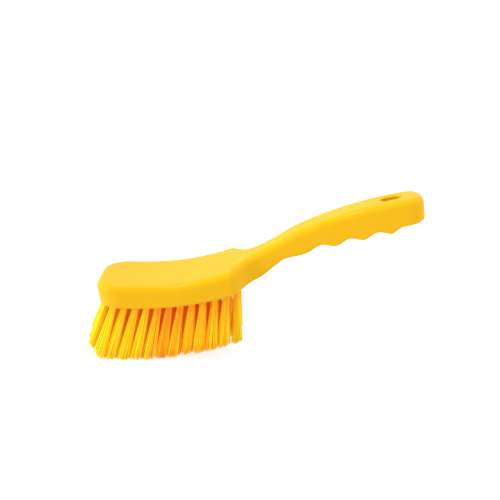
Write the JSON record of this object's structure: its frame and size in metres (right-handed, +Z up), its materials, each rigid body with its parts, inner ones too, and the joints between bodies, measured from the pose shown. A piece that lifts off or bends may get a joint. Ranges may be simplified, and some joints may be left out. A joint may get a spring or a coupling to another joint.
{
  "type": "scrubbing brush",
  "caption": "Short-handled scrubbing brush: a block curving up into a finger-grooved handle with an oblong hanging hole, and a grid of stiff bristle tufts stapled underneath.",
  "frame": {"origin": "under the middle of the whole brush's bounding box, at the height of the lowest bristle tips", "axes": "+X along the brush from the front of the block to the end of the handle, +Y across the block, +Z up, from the bristle tips through the block"},
  "size_m": [0.2746, 0.0634, 0.1358],
  "materials": {
    "body_plastic": "smooth moulded bright yellow, softly glossy",
    "bristle_filament": "stiff extruded yellow filament, cut ends",
    "staple_steel": "plain drawn flat wire"
  },
  "bodies": {
    "root": {"brush_body": "body_plastic", "front_end_tufts": "bristle_filament", "rear_end_tufts": "bristle_filament", "tuft_column02_row1": "bristle_filament", "tuft_column02_row2": "bristle_filament", "tuft_column02_row3": "bristle_filament", "tuft_column02_row4": "bristle_filament", "tuft_column02_row5": "bristle_filament", "tuft_column03_row1": "bristle_filament", "tuft_column03_row2": "bristle_filament", "tuft_column03_row3": "bristle_filament", "tuft_column03_row4": "bristle_filament", "tuft_column03_row5": "bristle_filament", "tuft_column04_row1": "bristle_filament", "tuft_column04_row2": "bristle_filament", "tuft_column04_row3": "bristle_filament", "tuft_column04_row4": "bristle_filament", "tuft_column04_row5": "bristle_filament", "tuft_column05_row1": "bristle_filament", "tuft_column05_row2": "bristle_filament", "tuft_column05_row3": "bristle_filament", "tuft_column05_row4": "bristle_filament", "tuft_column05_row5": "bristle_filament", "tuft_column06_row1": "bristle_filament", "tuft_column06_row2": "bristle_filament", "tuft_column06_row3": "bristle_filament", "tuft_column06_row4": "bristle_filament", "tuft_column06_row5": "bristle_filament", "tuft_column07_row1": "bristle_filament", "tuft_column07_row2": "bristle_filament", "tuft_column07_row3": "bristle_filament", "tuft_column07_row4": "bristle_filament", "tuft_column07_row5": "bristle_filament", "tuft_column08_row1": "bristle_filament", "tuft_column08_row2": "bristle_filament", "tuft_column08_row3": "bristle_filament", "tuft_column08_row4": "bristle_filament", "tuft_column08_row5": "bristle_filament", "tuft_column09_row1": "bristle_filament", "tuft_column09_row2": "bristle_filament", "tuft_column09_row3": "bristle_filament", "tuft_column09_row4": "bristle_filament", "tuft_column09_row5": "bristle_filament", "tuft_column10_row1": "bristle_filament", "tuft_column10_row2": "bristle_filament", "tuft_column10_row3": "bristle_filament", "tuft_column10_row4": "bristle_filament", "tuft_column10_row5": "bristle_filament", "tuft_column11_row1": "bristle_filament", "tuft_column11_row2": "bristle_filament", "tuft_column11_row3": "bristle_filament", "tuft_column11_row4": "bristle_filament", "tuft_column11_row5": "bristle_filament", "tuft_column12_row1": "bristle_filament", "tuft_column12_row2": "bristle_filament", "tuft_column12_row3": "bristle_filament", "tuft_column12_row4": "bristle_filament", "tuft_column12_row5": "bristle_filament", "tuft_staples": "staple_steel"}
  },
  "joints": []
}
